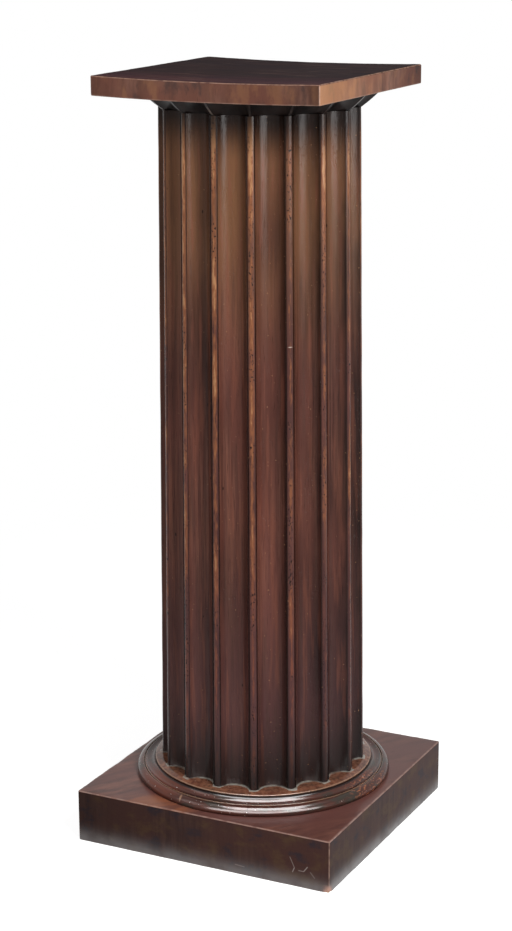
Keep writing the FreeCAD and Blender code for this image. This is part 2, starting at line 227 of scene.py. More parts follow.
def makeStave(name, index, look):
    front, section = staveSection(look)
    side = section[:, 1]
    reach = np.hypot(section[:, 0], side)
    depth = look["footRadius"] - reach
    inFront = np.arange(len(section)) < len(front)
    onBead = np.clip(1 - np.abs(side) / look["beadHalf"], 0, 1) * inFront
    inFlute = np.clip((depth - look["quirkDepth"]) / look["fluteStart"], 0, 1) * inFront
    height = np.linspace(0, 1, look["rows"])[:, None]
    length = staveHigh.z - staveLow.z
    shrink = 1 + (look["headRadius"] / look["footRadius"] - 1) * height
    # worn by hand: flutes and beads lie a hair deeper or higher from place to place
    hollowWave = wander(height * length, look["fluteWave"], look["unevenFlute"])
    beadWave = wander(height * length, look["beadWave"], look["unevenBead"])
    sink = hollowWave * inFlute - np.abs(beadWave) * onBead ** 0.5
    share = shrink * (1 + sink / reach)
    x, y = spun(share * section[:, 0], share * side, -math.pi / 2 + pitch * index)
    points = asTriples(x, y, staveLow.z + height * length)
    # dirt gathers in the two quirks beside the bead, and the flute's wall next to it is painted darker as
    # painted shade and dirt
    quirkAway = np.abs(np.abs(side) - look["beadHalf"])
    grimeAndShade = np.exp(-(quirkAway / look["grimeWidth"]) ** 2) * inFront * (depth < look["fluteStart"])
    across = lengthAlong(section)
    beforeBead = np.interp(-look["arrisHalf"], side[:len(front)], across[:len(front)])
    wall = np.clip(1 - (beforeBead - across) / look["darkWall"], 0, 1)
    toneAndPaintedLight, wear = dice.uniform(-1, 1), dice.uniform(-0.15, 0.15)
    piece = buildPiece(name.replace("stave_", "fluted_stave_"), points, name, {
        "grain": asTriples(across, points[..., 2], index * look["grainShift"]),
        "bead": onBead,
        "grimeAndShade": grimeAndShade,
        "wall": wall * (across < beforeBead) * inFront,
        # tone per stave, with painted shade on the brightly lit right side
        "toneAndPaintedLight": look["tonesAndPaintedLight"].get(index + 1, toneAndPaintedLight),
        "wear": look["wears"].get(index + 1, wear),
    })
    # the bead's faces take the second finish, which is rubbed to a higher gloss
    faceBead = np.concatenate([np.tile(onBead > 0.02, look["rows"] - 1), [False, False]])
    piece.data.polygons.foreach_set("material_index", faceBead.astype(np.int32))
    return piece


staves = [makeStave(name, index, shaft) for index, name in enumerate(staveNames)]
print("shaft made:", len(staves), "staves")

# the base ring is turned in two halves
ring = {
    "joint": math.radians(19.4 - 90),
    "bore": 0.100,
    "radius": 0.1852,
    "footBand": 0.0034,
    "quarterRound": 0.010,
    "quirkWidth": 0.0012,
    "quirkDepth": 0.0022,
    "rim": 0.0014,
    "lipRadius": 0.158,
    "lipFace": 0.004,
    "lipHeight": 0.0212,
    "hollowSag": 0.0042,
    "ledgeEnd": 0.1495,
    "underShaft": 0.1280,   # how far in the ledge is finely divided, below the flutes
    "spacing": 0.0005,
    "steps": 400,           # along each half
    "jointGap": 0.00012,
    "uneven": 0.00012,
    "wave": 1.1,            # length of the waves along the ring, in radians
    "offLedge": 10,         # added to a point's gap to the staves wherever it isn't on the ledge
    "grainShift": 0.71,     # from the grain of one half to that of the other
}


def ringSection(look, height):
    # turned section as radius and height, from the bore's foot round the outside and back
    roundTop = look["footBand"] + look["quarterRound"]
    roundInner = look["radius"] - look["quarterRound"]
    quirkInner = roundInner - look["quirkWidth"]
    outside = np.vstack([
        (look["radius"] - 0.0012, 0), (look["radius"], 0.0008),
        arcPoints((roundInner, look["footBand"]), look["quarterRound"], 0, 90, 40),
        (roundInner, roundTop - look["quirkDepth"]),
        (quirkInner, roundTop - look["quirkDepth"]),
        (quirkInner, roundTop),
        arcBetween((quirkInner - look["rim"], roundTop),
                   (look["lipRadius"], look["lipHeight"] - look["lipFace"]), look["hollowSag"], 40),
        (look["lipRadius"], look["lipHeight"]),
        (look["ledgeEnd"], height),
        (look["underShaft"], height),
    ])
    outside = softened(evenly(outside, look["spacing"]), 1)
    return np.vstack([(look["bore"], 0), outside, (look["bore"], height)])


def staveRim(look, angle):
    # radius of the shaft's foot outline in a direction
    local = (angle + math.pi / 2) % pitch
    local = np.minimum(local, pitch - local)
    arris, _, sweep, valley = fluteNumbers(look)
    centre = valley + sweep
    off = pitch / 2 - local
    inside = np.maximum(sweep ** 2 - (centre * np.sin(off)) ** 2, 0)
    hollow = centre * np.cos(off) - np.sqrt(inside)
    return np.where(local < arris, look["footRadius"], hollow)


def makeRingHalf(name, index, look):
    section = ringSection(look, ringHigh.z - ringLow.z)
    gap = look["jointGap"] / look["radius"]
    turn = np.linspace(gap, math.pi - gap, look["steps"])[:, None] + look["joint"] + math.pi * index
    # the turned surface was finished by hand, so it is not quite true
    outside = section[:, 0] > look["ledgeEnd"]
    radius = section[:, 0] + wander(turn, look["wave"], look["uneven"]) * outside
    height = section[:, 1] + 0 * turn
    x, y = radius * np.cos(turn), radius * np.sin(turn)
    ledgeGap = np.abs(np.hypot(x, y) - staveRim(shaft, np.arctan2(y, x)))
    ledgeGap = ledgeGap + look["offLedge"] * (height < look["lipHeight"] - 0.0006)
    # dirt lies in the sunk line, and painted shade darkens the face below the lip and the foot
    roundInner = look["radius"] - look["quarterRound"]
    roundTop = look["footBand"] + look["quarterRound"]
    quirk = np.exp(-((radius - roundInner + 0.0006) / 0.0008) ** 2) * (height < roundTop - 0.0003)
    lipSide = (np.abs(radius - look["lipRadius"]) < 0.0008) * (height < look["lipHeight"] - 0.0009)
    foot = np.clip(1 - height / 0.0052, 0, 1) * (radius > roundInner)
    # rubbed lines along the lip and on both sides of the sunk line
    lip = ((radius - look["lipRadius"]) / 0.0012) ** 2 + ((height - look["lipHeight"]) / 0.0009) ** 2
    beside = np.minimum(np.abs(radius - roundInner), np.abs(radius - roundInner + look["quirkWidth"]))
    arris = (beside / 0.0008) ** 2 + ((height - roundTop) / 0.0007) ** 2
    points = asTriples(x, y, ringLow.z + height)
    return buildPiece(f"turned_ring_half_{index + 1}", points, name, {
        "grain": asTriples(lengthAlong(section), turn * look["radius"], index * look["grainShift"]),
        "ledgeGap": ledgeGap,
        # dirt in the sunk line, painted shade below the lip and along the foot
        "grimeAndShade": np.clip(quirk + 0.85 * lipSide + 0.7 * foot, 0, 1),
        "edge": np.exp(-lip) + 0.8 * np.exp(-arris),
    }, flipped=True)


rings = [makeRingHalf(f"base_ring_segment_{index + 1}", index, ring) for index in range(2)]
print("base ring made")

# the neck is a flared block with the flutes carved on through it
neck = {
    "footRadius": 0.1384,
    "headRadius": 0.1640,
    "swell": 0.0011,
    "ridge": 0.0036,
    "headDepth": 0.0130,
    "rows": 26,
    "ridgePoints": 5,
    "flutePoints": 40,
    "wornRidges": (3, 14, 16),
    "faintWear": 0.12,      # wear of all other ridges
}


def makeNeck(look):
    # every height has ridges on a circle, and between them arcs down to the valley's radius
    share = np.linspace(0, 1, look["rows"])[:, None]
    ridgeRadius = look["footRadius"] + (look["headRadius"] - look["footRadius"]) * share
    ridgeRadius = ridgeRadius + look["swell"] * 4 * share * (1 - share)
    headChord = look["headRadius"] * math.cos(pitch / 2 - look["ridge"] / 2 / look["headRadius"])
    footValley = fluteNumbers(shaft)[3] * shaft["headRadius"] / shaft["footRadius"]
    valley = footValley + (headChord - look["headDepth"] - footValley) * share
    ridgeTurn = look["ridge"] / 2 / ridgeRadius
    half = ridgeRadius * np.sin(pitch / 2 - ridgeTurn)
    depth = ridgeRadius * np.cos(pitch / 2 - ridgeTurn) - valley
    sweep = (half ** 2 + depth ** 2) / (2 * depth)
    spread = np.arcsin(np.clip(half / sweep, 0, 1))
    bow = np.linspace(-1, 1, look["flutePoints"])[None, :] * spread
    fluteX = valley + sweep - sweep * np.cos(bow)
    fluteY = sweep * np.sin(bow)
    ridgeSide = np.linspace(-1, 1, look["ridgePoints"] + 2)[None, 1:-1] * ridgeTurn
    ridgeX = ridgeRadius * np.cos(ridgeSide + pitch / 2)
    ridgeY = ridgeRadius * np.sin(ridgeSide + pitch / 2)
    unitX, unitY = np.hstack([fluteX, ridgeX]), np.hstack([fluteY, ridgeY])
    turns = -math.pi / 2 + pitch * (np.arange(len(staveNames)) + 0.5)
    x, y = (np.hstack(parts) for parts in zip(*(spun(unitX, unitY, turn) for turn in turns)))
    onRidge = np.hstack([np.zeros(look["flutePoints"]), np.ones(look["ridgePoints"])])
    worn = np.full(len(staveNames), look["faintWear"])
    worn[list(look["wornRidges"])] = 1.0
    points = asTriples(x, y, neckLow.z + (neckHigh.z - neckLow.z) * share)
    return buildPiece("fluted_neck", points, "neck",
                      {"ridge": np.outer(worn, onRidge).ravel()})


neckPiece = makeNeck(neck)
print("neck made")

# plinth and top have square sheets, and strips round their edges
square = {
    "corner": 0.0022,       # worn upright corners
    "banding": 0.0025,
    "sideSteps": 150,       # points along each side
    "cornerSteps": 9,
}


def squareLoop(half, look):
    # one side of the square, anticlockwise from the middle of its first rounded corner to that of the next
    corner = look["corner"]
    quarter = arcPoints((half - corner, -half + corner), corner, -45, 0, look["cornerSteps"])
    side = np.column_stack([np.full(look["sideSteps"], half),
                            np.linspace(-half + corner, half - corner, look["sideSteps"] + 2)[1:-1]])
    closing = quarter[::-1] * [1, -1]
    return np.vstack([quarter, side, closing])


def turned(points, quarterTurns):
    return np.stack(spun(points[..., 0], points[..., 1], math.radians(90 * quarterTurns)), axis=-1)


def wornEdge(places, look):
    # how far the arris is rubbed back along one side, in long and in short waves
    return np.abs(wander(places, 0.09, look["wear"])) + np.abs(wander(places, 0.021, look["wear"] * 0.5))


def warped(x, half, look):
    # an old board cups: its middle lies lower than its two ends, as a parabola across x
    return look["cup"] * (1 - (x / half) ** 2)


def makeSheet(name, low, high, look, node, flatBelow=False):
    # each loop is the outer square shrunk towards the axis, from the middle of the lower face out,
    # up over the rounded edge and back to the middle of the upper face
    half, thick, edge = high.x, high.z - low.z, look["edgeRound"]
    outer = np.vstack([turned(squareLoop(half, square)[:-1], side) for side in range(4)])
    bend = np.radians(np.linspace(0, 90, 7))
    inset = np.concatenate([[half * 0.9999, half * 0.5, 0.004, 0], edge * (1 - np.cos(bend)),
                            [0.004, 0.012, half * 0.4, half * 0.9999]])
    rise = np.concatenate([[0] * 4, thick - edge + edge * np.sin(bend), [thick] * 4])
    rub = wornEdge(np.linspace(0, 8 * half, len(outer)), look)
    onEdge = (np.exp(-(inset / 0.0015) ** 2) * (rise > thick * 0.3))[:, None]
    scale = 1 - (inset[:, None] + rub * onEdge) / half
    x, y = scale * outer[:, 0], scale * outer[:, 1]
    cupShare = rise[:, None] / thick if flatBelow else 1.0
    z = low.z + rise[:, None] - rub * onEdge * 0.8 - warped(x, half, look) * cupShare
    return buildPiece(name, asTriples(x, y, z), node, {"edge": onEdge})


def chippedBack(places, quarterTurns, look):
    # how far the foot is lost near each end, as a chipped corner is shared by two sides
    lost = 0
    for end, corner in ((0, quarterTurns), (-1, (quarterTurns + 1) % 4)):
        away = (places - places[end]) / look["chipReach"]
        lost = lost + look["chipDepth"] * np.exp(-away ** 2) * look["chipSides"][corner]
    return lost


def makeBand(name, quarterTurns, half, low, high, look, node):
    # strip section of inset and height, carried along one side from mitre to mitre
    loop = turned(squareLoop(half, square), quarterTurns)
    edge, banding = look["footRound"], square["banding"]
    bend = np.radians(np.linspace(0, 90, 6))
    wall = np.linspace(low + edge, high, 14)[1:]
    inset = np.concatenate([[banding], edge * (1 - np.sin(bend)), 0 * wall, [banding]])
    rise = np.concatenate([[low], low + edge * (1 - np.cos(bend)), wall, [high]])
    places = lengthAlong(loop)
    outside = inset < 0.002
    nearFoot = np.exp(-((rise - low) / 0.0016) ** 2) * outside
    rub = wornEdge(places, look)[:, None]
    chip = chippedBack(places, quarterTurns, look)[:, None]
    chip = chip * (np.exp(-((rise - low) / 0.006) ** 2) * outside)
    scale = 1 - (inset + rub * nearFoot + chip) / half
    x, y = scale * loop[:, :1], scale * loop[:, 1:]
    upright = np.exp(-(np.minimum(places, places[-1] - places)[:, None] / 0.0011) ** 2)
    points = asTriples(x, y, rise - warped(x, half, look))
    return buildPiece(name, points, node, {
        "edge": np.maximum(0.6 * nearFoot, upright),
        "chip": np.clip(chip * 1600, 0, 1),     # full from a depth of 0.6 mm
        # tone along the side, partly painted light and shade
        "toneAndPaintedLight": np.interp(places[:, None] / places[-1], *np.transpose(look["tonesAndPaintedLight"][quarterTurns])),
        # painted reflection of the pale floor, fading up from the foot
        "paintedFloorReflection": look["paintedFloorReflection"][quarterTurns] * np.exp(-((rise - low) / look["paintedFloorReflectionReach"]) ** 2),
        "grain": asTriples(places[:, None], rise, quarterTurns),
    }, flipped=True)


top = {
    "edgeRound": 0.0010,
    "footRound": 0.0007,
    "wear": 0.00022,
    "chipDepth": 0.0,
    "chipReach": 0.004,
    "chipSides": (0, 0, 0, 0),
    # brightness along each side, as share of the way and level: right, back, left, front; partly the
    # wood's own tone and partly painted light and shade, such as the paler right side and the darker ends
    # near the corners
    "tonesAndPaintedLight": (((0, 2.30), (0.3, 1.65), (0.57, 1.35), (0.60, 0.95), (0.66, 1.40), (0.8, 0.90), (1, 0.62)),
              ((0, 0.8), (1, 0.8)),
              ((0, 0.8), (1, 0.8)),
              ((0, 0.70), (0.1, 0.92), (0.2, 0.95), (0.23, 0.72), (0.27, 0.95), (0.95, 0.80), (1, 0.42))),
    "paintedFloorReflection": (0, 0, 0, 0),
    "paintedFloorReflectionReach": 0.01,
    "cup": 0.0028,
}
plinth = {
    "edgeRound": 0.0009,
    "footRound": 0.0010,
    "wear": 0.00030,
    "chipDepth": 0.0022,
    "chipReach": 0.0055,
    "chipSides": (1, 0, 0, 0),
    # brightness along each side as above, partly painted light and shade
    "tonesAndPaintedLight": (((0, 0.95), (0.5, 1.15), (1, 1.25)),
              ((0, 1), (1, 1)),
              ((0, 1), (1, 1)),
              ((0, 0.62), (0.2, 0.80), (0.5, 1.05), (1, 1.1))),
    # painted reflection of the pale floor along the foot of each side: right, back, left, front
    "paintedFloorReflection": (0.95, 0.5, 0.5, 0.50),
    "paintedFloorReflectionReach": 0.015,
    "cup": 0.0,
}
topSheet = makeSheet("top_sheet", topLow, topHigh, top, "top_veneer")
coreLow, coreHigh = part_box("top_core")
topBoard = makeSheet("top_board", coreLow, coreHigh, top, "top_core", flatBelow=True)
plinthSheet = makeSheet("plinth_sheet", plinthLow, plinthHigh, plinth, "plinth_veneer")
bands = {"top": [], "plinth": []}
for quarterTurns, side in enumerate(("right", "back", "left", "front")):
    for kind, half, look in (("top", topHigh.x, top), ("plinth", plinthHigh.x, plinth)):
        node = f"{kind}_banding_{side}"
        bandLow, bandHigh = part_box(node)
        bands[kind].append(makeBand(f"{kind}_band_{side}", quarterTurns, half, bandLow.z, bandHigh.z,
                                    look, node))
print("sheets and bands made")


def newFinish(name):
    material = bpy.data.materials.new(name)
    material.use_nodes = True
    tree = material.node_tree
    return material, tree, tree.nodes["Principled BSDF"]


def put(tree, kind, inputs=None, **settings):
    # one node; an input that is a socket is linked, any other value is set
    node = tree.nodes.new("ShaderNode" + kind)
    for key, value in settings.items():
        setattr(node, key, value)
    for key, value in (inputs or {}).items():
        if isinstance(value, bpy.types.NodeSocket):
            tree.links.new(value, node.inputs[key])
        elif value is not None:
            node.inputs[key].default_value = value
    return node


def calc(tree, operation, first, second=None):
    return put(tree, "Math", {0: first, 1: second}, operation=operation).outputs[0]


def times(tree, first, second):
    return calc(tree, "MULTIPLY", first, second)


def plus(tree, first, second):
    return calc(tree, "ADD", first, second)


def minus(tree, first, second):
    return calc(tree, "SUBTRACT", first, second)


def between(tree, value, low, high, start=0.0, end=1.0):
    # value taken from one range to another, held at its ends
    inputs = {"Value": value, "From Min": low, "From Max": high, "To Min": start, "To Max": end}
    return put(tree, "MapRange", inputs, interpolation_type="SMOOTHSTEP").outputs[0]


def blended(tree, share, first, second):
    return put(tree, "Mix", {0: share, 6: first, 7: second}, data_type="RGBA").outputs[2]


def colour(red, green, blue):
    return (red, green, blue, 1.0)


def stretched(tree, places, scale, offset=(0, 0, 0)):
    return put(tree, "Mapping", {"Vector": places, "Scale": scale, "Location": offset}).outputs[0]


def cloud(tree, places, scale, detail=3.0, rough=0.55):
    inputs = {"Vector": places, "Scale": scale, "Detail": detail, "Roughness": rough}
    return put(tree, "TexNoise", inputs).outputs["Fac"]


def veins(tree, places, scale, detail=3.0, rough=0.55, offset=(0, 0, 0)):
    # a cloud drawn out by its own amount in each direction
    return cloud(tree, stretched(tree, places, scale, offset), 1.0, detail, rough)


def field(tree, name, output="Fac"):
    return put(tree, "Attribute", attribute_name=name).outputs[output]


def objectPlaces(tree):
    return put(tree, "TexCoord").outputs["Object"]


def vectorCalc(tree, operation, first, second=None):
    return put(tree, "VectorMath", {0: first, 1: second}, operation=operation).outputs


def apart(tree, places):
    return put(tree, "SeparateXYZ", {"Vector": places}).outputs


def spot(tree, place, reaches):
    # 1 at a place and 0 outside the ellipsoid with these half widths about it
    away = vectorCalc(tree, "SUBTRACT", objectPlaces(tree), place)[0]
    away = vectorCalc(tree, "MULTIPLY", away, tuple(1 / reach for reach in reaches))[0]
    return between(tree, vectorCalc(tree, "LENGTH", away)["Value"], 1.0, 0.35)


def scaled(tree, wood, share):
    return put(tree, "VectorMath", {0: wood, "Scale": share}, operation="SCALE").outputs[0]


def grainFigure(tree, places, look):
    # streaks along the grain, soft patches across it, and short dark pores; places run (across, along)
    streak = veins(tree, places, look["streak"], 4.0, 0.6)
    patch = veins(tree, places, look["patch"], 2.0, 0.5)
    pores = between(tree, veins(tree, places, look["pore"], 2.0, 0.6), 0.60, 0.72)
    wood = blended(tree, between(tree, streak, 0.32, 0.68), look["dark"], look["light"])
    wood = blended(tree, between(tree, patch, 0.35, 0.65), wood, look["accent"])
    wood = blended(tree, times(tree, pores, look["poreShare"]), wood, look["poreColour"])
    return wood, streak, pores


def finishUp(tree, shader, surface, relief, look):
    # "rough" is left out of a look whose roughness changes from place to place
    tree.links.new(surface, shader.inputs["Base Color"])
    for key, inputName in (("gloss", "Specular IOR Level"), ("rough", "Roughness")):
        if key in look:
            shader.inputs[inputName].default_value = look[key]
    inputs = {"Height": relief, "Strength": look["bump"], "Distance": look["relief"]}
    tree.links.new(put(tree, "Bump", inputs).outputs[0], shader.inputs["Normal"])


shaftLook = {
    "streak": (230, 5, 1),
    "patch": (24, 4.5, 1),
    "pore": (1500, 36, 1),
    "dark": colour(0.078, 0.029, 0.023),
    "light": colour(0.19, 0.075, 0.05),
    "accent": colour(0.136, 0.047, 0.034),
    "poreColour": colour(0.02, 0.008, 0.007),
    "poreShare": 0.6,
    "redStreak": colour(0.208, 0.07, 0.043),
    "darkStreak": colour(0.06, 0.03, 0.022),
    "headColour": colour(0.205, 0.097, 0.043),
    "footColour": colour(0.07, 0.031, 0.034),
    "beadColour": colour(0.27, 0.098, 0.042),
    "beadFoot": colour(0.19, 0.056, 0.034),
    "paleWear": colour(0.52, 0.27, 0.13),
    # near black, used for real dirt and for painted shade
    "dirtAndShade": colour(0.006, 0.004, 0.004),
    "footDarkening": colour(0.01, 0.009, 0.008),
    "residue": colour(0.24, 0.23, 0.2),
    "nick": ((0.0965, -0.1055, 0.735), (0.0048, 0.0048, 0.0009)),     # its place and half widths
    "nickColour": colour(0.56, 0.44, 0.37),
    "gloss": 0.11,
    "beadGloss": 0.20,
    "roughRange": (0.19, 0.27),      # from the smoothest to the dullest place
    "bump": 0.45,
    "relief": 0.00035,
}


def staveWood(tree, places, height, look):
    wood, streak, pores = grainFigure(tree, places, look)
    # each stave is its own piece of wood: some are paler and some darker, and each changes on its way up;
    # the darkest on the right side are painted shade
    drift = veins(tree, places, (9, 3.2, 1), 2.0, offset=(3, 5, 8))
    level = plus(tree, times(tree, field(tree, "toneAndPaintedLight"), 0.20), between(tree, drift, 0.3, 0.7, 0.50, 1.02))
    wood = scaled(tree, wood, level)
    # the polish is olive brown towards the head, and redder and darker towards the foot
    olive = times(tree, between(tree, height, 0.66, 0.96), between(tree, drift, 0.25, 0.6, 0.25, 0.75))
    headWood = scaled(tree, look["headColour"][:3], plus(tree, times(tree, level, 0.5), 0.5))
    wood = blended(tree, olive, wood, headWood)
    wood = blended(tree, between(tree, height, 0.50, 0.14, 0.0, 0.62), wood, look["footColour"])
    # redder and darker streaks where the stain took differently
    hue = veins(tree, places, (120, 7, 1), offset=(6, 2, 5))
    wood = blended(tree, between(tree, hue, 0.50, 0.68, 0.0, 0.38), wood, look["redStreak"])
    wood = blended(tree, between(tree, hue, 0.46, 0.30, 0.0, 0.35), wood, look["darkStreak"])
    # painted shade and dirt on the flute's wall beside the bead, broken along its length
    broken = between(tree, veins(tree, places, (30, 7, 1), offset=(1, 2, 3)), 0.3, 0.6, 0.25, 0.8)
    wood = blended(tree, times(tree, field(tree, "wall"), broken), wood, look["dirtAndShade"])
    # knots and specks
    inputs = {"Vector": stretched(tree, places, (34, 17, 1)), "Scale": 1.0, "Randomness": 1.0}
    knot = put(tree, "TexVoronoi", inputs).outputs["Distance"]
    wood = blended(tree, between(tree, knot, 0.055, 0.025, 0.0, 0.75), wood, look["dirtAndShade"])
    return wood, minus(tree, streak, pores)


def rubbedBeads(tree, wood, places, height, look):
    # the colour is rubbed through to golden wood with ragged edges, more in some places than others,
    # less towards the foot and more close to the head
    crown = field(tree, "bead")
    ragged = veins(tree, places, (300, 50, 1), 4.0, 0.7)
    zone = veins(tree, places, (8, 9, 1), 2.0, offset=(2, 0, 4))
    wear = plus(tree, times(tree, crown, 0.30), times(tree, zone, 1.2))
    wear = plus(tree, wear, times(tree, ragged, 1.15))
    wear = plus(tree, wear, field(tree, "wear"))
    wear = minus(tree, wear, between(tree, height, 0.60, 0.15, 0.05, 0.20))
    wear = plus(tree, wear, between(tree, height, 0.80, 0.98, 0.0, 0.14))
    onCrown = between(tree, crown, 0.12, 0.5)
    wood = blended(tree, between(tree, crown, 0.0, 0.3, 0.0, 0.35), wood, look["footColour"])
    worn = times(tree, between(tree, wear, 1.12, 1.50), onCrown)
    fromHead = between(tree, height, 0.62, 0.20, 0.0, 0.9)
    rubbedWood = blended(tree, fromHead, look["beadColour"], look["beadFoot"])
    wood = blended(tree, times(tree, worn, 0.85), wood, rubbedWood)
    pale = times(tree, between(tree, wear, 1.48, 1.62), onCrown)
    pale = times(tree, pale, between(tree, height, 0.25, 0.60, 0.2, 1.0))
    wood = blended(tree, times(tree, pale, 0.6), wood, look["paleWear"])
    nicks = veins(tree, places, (420, 260, 1), 1.0, offset=(5, 1, 2))
    nickZone = veins(tree, places, (8, 14, 1), 1.0, offset=(7, 7, 1))
    nicks = times(tree, between(tree, nicks, 0.60, 0.68), between(tree, nickZone, 0.46, 0.62))
    return blended(tree, times(tree, nicks, onCrown), wood, look["dirtAndShade"]), nicks


def dirtAndShadeAtEnds(tree, wood, places, height, look):
    # black dirt in the quirks, painted shade near black under the neck, and darker towards the foot
    wood = blended(tree, times(tree, field(tree, "grimeAndShade"), 0.95), wood, look["dirtAndShade"])
    waver = plus(tree, height, times(tree, veins(tree, places, (14, 2, 1)), 0.05))
    # painted shade under the overhanging neck, near black
    wood = blended(tree, between(tree, waver, 1.000, 1.064, 0.0, 0.93), wood, look["dirtAndShade"])
    # darker towards the foot
    wood = blended(tree, between(tree, waver, 0.245, 0.125, 0.0, 0.80), wood, look["footDarkening"])
    # dried polish along the foot of each flute
    crumbs = cloud(tree, objectPlaces(tree), 48.0)
    line = between(tree, height, staveLow.z + 0.0020, staveLow.z + 0.0006)
    line = times(tree, line, between(tree, crumbs, 0.38, 0.55, 0.15, 0.75))
    line = times(tree, line, between(tree, field(tree, "bead"), 0.05, 0.0))
    return blended(tree, line, wood, look["residue"])


def shaftPolish(name, gloss):
    look = shaftLook | {"gloss": gloss}
    material, tree, shader = newFinish(name)
    places, height = field(tree, "grain", "Vector"), apart(tree, objectPlaces(tree))["Z"]
    wood, relief = staveWood(tree, places, height, look)
    wood, nicks = rubbedBeads(tree, wood, places, height, look)
    wood = dirtAndShadeAtEnds(tree, wood, places, height, look)
    # one pale nick across a bead, and stray pale specks
    wood = blended(tree, times(tree, spot(tree, *look["nick"]), 0.9), wood, look["nickColour"])
    dots = veins(tree, places, (520, 400, 1), 0.0, offset=(9, 9, 9))
    wood = blended(tree, between(tree, dots, 0.855, 0.875, 0.0, 0.6), wood, look["paleWear"])
    rough = between(tree, veins(tree, places, (40, 9, 1)), 0.3, 0.7, *look["roughRange"])
    tree.links.new(rough, shader.inputs["Roughness"])
    finishUp(tree, shader, wood, minus(tree, relief, times(tree, nicks, 2.0)), look)
    return material


# the neck is painted near black as painted shade under the overhanging top, with a few rubbed ridges
neckLook = {
    "dark": colour(0.007, 0.006, 0.006),
    "light": colour(0.016, 0.01, 0.009),
    "rubbed": colour(0.12, 0.095, 0.08),
    "gloss": 0.16,
    "rough": 0.3,
    "bump": 0.3,
    "relief": 0.0004,
}


def neckPolishPaintedShade():
    look = neckLook
    material, tree, shader = newFinish("neck_polish_painted_shade")
    places = objectPlaces(tree)
    # near-black mottled wood, which is painted shade
    mottle = cloud(tree, places, 60.0)
    wood = blended(tree, between(tree, mottle, 0.35, 0.65), look["dark"], look["light"])
    broken = between(tree, cloud(tree, places, 45.0), 0.48, 0.60)
    rubbed = times(tree, field(tree, "ridge"), broken)
    wood = blended(tree, rubbed, wood, look["rubbed"])
    finishUp(tree, shader, wood, mottle, look)
    return material


ringLook = {
    "streak": (150, 12, 1),
    "patch": (20, 9, 1),
    "pore": (1300, 60, 1),
    "dark": colour(0.03, 0.012, 0.01),
    "light": colour(0.12, 0.038, 0.025),
    "accent": colour(0.092, 0.026, 0.018),
    "stain": colour(0.038, 0.032, 0.024),
    "poreColour": colour(0.014, 0.007, 0.006),
    "poreShare": 0.5,
    "rubbedThrough": colour(0.42, 0.14, 0.06),
    "edgeWear": colour(0.42, 0.24, 0.15),
    "ledge": colour(0.3, 0.125, 0.07),
    "residue": colour(0.4, 0.385, 0.335),
    # near black, used for real dirt and for painted shade
    "dirtAndShade": colour(0.005, 0.004, 0.004),
    # places and half widths of the crack, the warm and cold sides and the speckled part
    "crack": ((-0.043, -0.177, 0.087), (0.0024, 0.0077, 0.0077)),
    "warmSide": ((-0.095, -0.150, 0.088), (0.070, 0.070, 0.012)),
    "warmColour": colour(0.165, 0.04, 0.019),
    "coldSide": ((0.160, -0.085, 0.088), (0.070, 0.060, 0.03)),
    "speckled": ((0.178, -0.015, 0.088), (0.040, 0.065, 0.03)),
    "paleDot": colour(0.55, 0.45, 0.4),
    "gloss": 0.20,
    "rough": 0.16,
    "bump": 0.12,
    "relief": 0.0003,
}


def ringWood(tree, places, look):
    wood, streak, pores = grainFigure(tree, places, look)
    stain = veins(tree, places, (60, 22, 1), offset=(8, 3, 0))
    wood = blended(tree, between(tree, stain, 0.50, 0.64, 0.0, 0.75), wood, look["stain"])
    # a pale crack across the quarter round, which is rubbed warm at the left and stained at the right
    wood = blended(tree, times(tree, spot(tree, *look["crack"]), 0.7), wood, look["edgeWear"])
    warm = times(tree, spot(tree, *look["warmSide"]), between(tree, streak, 0.35, 0.6, 0.3, 0.9))
    wood = blended(tree, warm, wood, look["warmColour"])
    cold = times(tree, spot(tree, *look["coldSide"]), between(tree, stain, 0.40, 0.55, 0.2, 0.85))
    return blended(tree, cold, wood, look["stain"]), minus(tree, streak, pores)


def ledgeWood(tree, wood, look):
    # the ledge is paler and mottled, and dried polish lies along the feet of the flutes
    places, gap = objectPlaces(tree), field(tree, "ledgeGap")
    mottle = cloud(tree, places, 160.0, 4.0, 0.65)
    tan = times(tree, between(tree, gap, 0.05, 0.0), between(tree, mottle, 0.36, 0.62, 0.25, 0.95))
    wood = blended(tree, tan, wood, look["ledge"])
    crumbs = between(tree, cloud(tree, places, 48.0), 0.38, 0.55, 0.25, 1.0)
    breadth = between(tree, cloud(tree, places, 30.0), 0.3, 0.7, 0.0022, 0.0052)
    residue = times(tree, between(tree, minus(tree, gap, breadth), 0.0, -0.0008), crumbs)
    return blended(tree, times(tree, residue, 0.85), wood, look["residue"])


def turnedPolish():
    look = ringLook
    material, tree, shader = newFinish("turned_polish")
    places = field(tree, "grain", "Vector")
    wood, relief = ringWood(tree, places, look)
    # orange specks where the colour is rubbed through at the right, and a few pale dots all round
    specks = veins(tree, places, (260, 150, 1), 3.0, 0.7)
    rubbed = times(tree, between(tree, specks, 0.53, 0.61), spot(tree, *look["speckled"]))
    wood = blended(tree, times(tree, rubbed, 0.8), wood, look["rubbedThrough"])
    paleDots = veins(tree, places, (330, 330, 1), 0.0, offset=(6, 8, 0))
    wood = blended(tree, between(tree, paleDots, 0.80, 0.83, 0.0, 0.7), wood, look["paleDot"])
    wood = ledgeWood(tree, wood, look)
    # dirt in the sunk line, and painted shade below the lip and along the foot
    wood = blended(tree, times(tree, field(tree, "grimeAndShade"), 0.97), wood, look["dirtAndShade"])
    edge = times(tree, field(tree, "edge"), between(tree, specks, 0.3, 0.5, 0.35, 0.85))
    wood = blended(tree, edge, wood, look["edgeWear"])
    finishUp(tree, shader, wood, relief, look)
    return material


